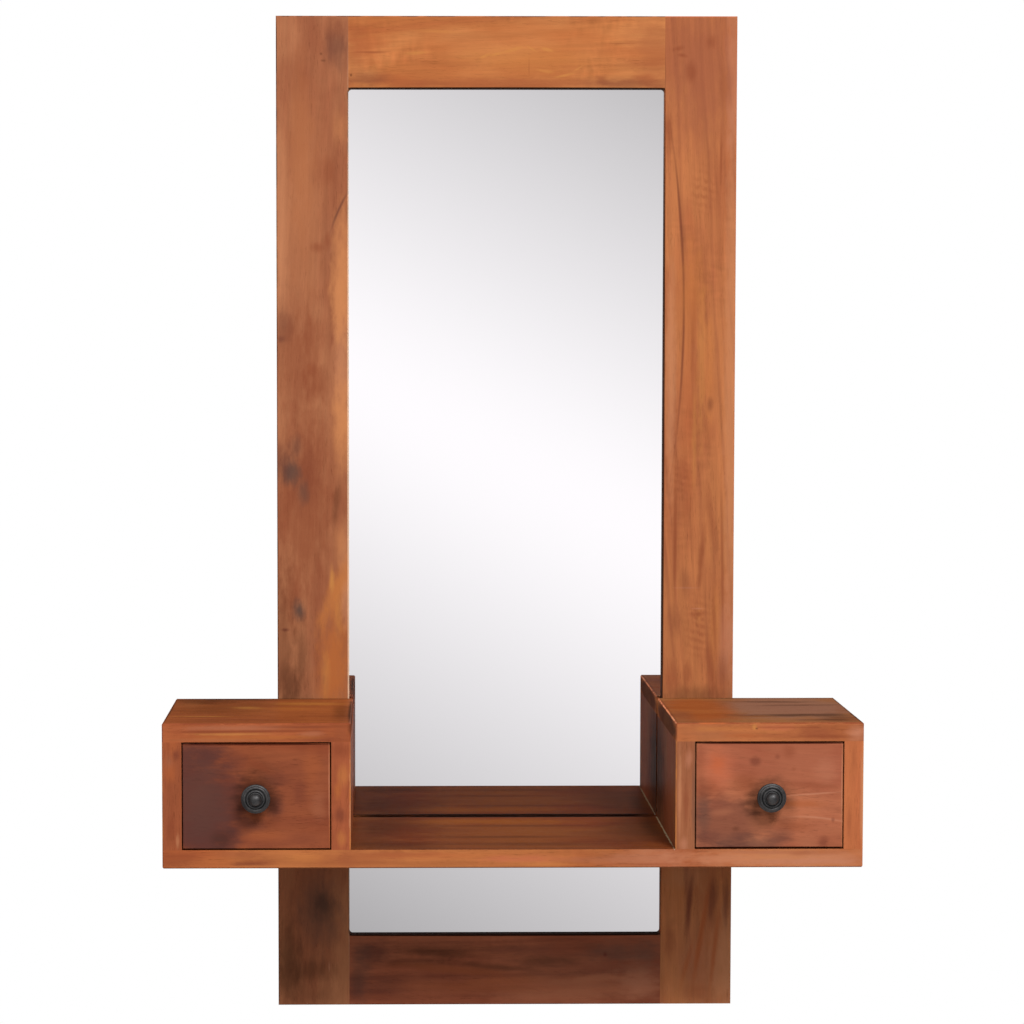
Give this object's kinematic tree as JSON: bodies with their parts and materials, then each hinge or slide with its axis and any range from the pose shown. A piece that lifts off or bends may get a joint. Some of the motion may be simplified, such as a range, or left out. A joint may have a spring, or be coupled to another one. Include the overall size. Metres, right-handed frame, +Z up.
{
  "type": "wall mirror with drawers",
  "caption": "Tall wall mirror in a solid wood frame, with a narrow shelf across its lower part and a small box with a knobbed drawer on each end of the shelf.",
  "frame": {"origin": "on the wall plane, midway between the two keyhole hanging holes in the back of the stiles", "axes": "+X to the right seen from the front, +Y into the wall, +Z up"},
  "size_m": [0.6, 0.1672, 0.9],
  "materials": {
    "frame_wood": "satin clear finish on reddish brown hardwood",
    "unit_wood": "satin clear finish on reddish brown hardwood",
    "drawer_front_wood": "satin clear finish on figured hardwood",
    "drawer_box_wood": "sanded, unfinished hardwood",
    "dowel_wood": "fluted beech",
    "plywood": "sanded thin plywood",
    "mirror": "silvered float glass",
    "zinc_steel": "zinc plated",
    "pin_steel": "bright drawn wire",
    "black_iron": "turned and blackened, satin"
  },
  "bodies": {
    "frame": {"backing_panel": "plywood", "backing_screws": "zinc_steel", "bottom_rail": "frame_wood", "box_dowels": "dowel_wood", "hanger_screws": "zinc_steel", "left_box_back": "plywood", "left_box_back_pins": "pin_steel", "left_box_inner_side": "unit_wood", "left_box_outer_side": "unit_wood", "left_box_top": "unit_wood", "left_hanger_plate": "zinc_steel", "left_stile": "frame_wood", "mirror_glass": "mirror", "right_box_back": "plywood", "right_box_back_pins": "pin_steel", "right_box_inner_side": "unit_wood", "right_box_outer_side": "unit_wood", "right_box_top": "unit_wood", "right_hanger_plate": "zinc_steel", "right_stile": "frame_wood", "shelf_board": "unit_wood", "top_rail": "frame_wood", "unit_screws": "zinc_steel"},
    "left_drawer": {"left_drawer_back": "drawer_box_wood", "left_drawer_bottom": "plywood", "left_drawer_front": "drawer_front_wood", "left_drawer_left_side": "drawer_box_wood", "left_drawer_pins": "pin_steel", "left_drawer_right_side": "drawer_box_wood", "left_knob": "black_iron", "left_knob_screw": "zinc_steel"},
    "right_drawer": {"right_drawer_back": "drawer_box_wood", "right_drawer_bottom": "plywood", "right_drawer_front": "drawer_front_wood", "right_drawer_left_side": "drawer_box_wood", "right_drawer_pins": "pin_steel", "right_drawer_right_side": "drawer_box_wood", "right_knob": "black_iron", "right_knob_screw": "zinc_steel"}
  },
  "joints": [
    {"name": "left_drawer_slide", "type": "slide", "parent": "frame", "child": "left_drawer", "axis": [0, -1, 0], "range_m": [0, 0.1]},
    {"name": "right_drawer_slide", "type": "slide", "parent": "frame", "child": "right_drawer", "axis": [0, -1, 0], "range_m": [0, 0.1]}
  ]
}
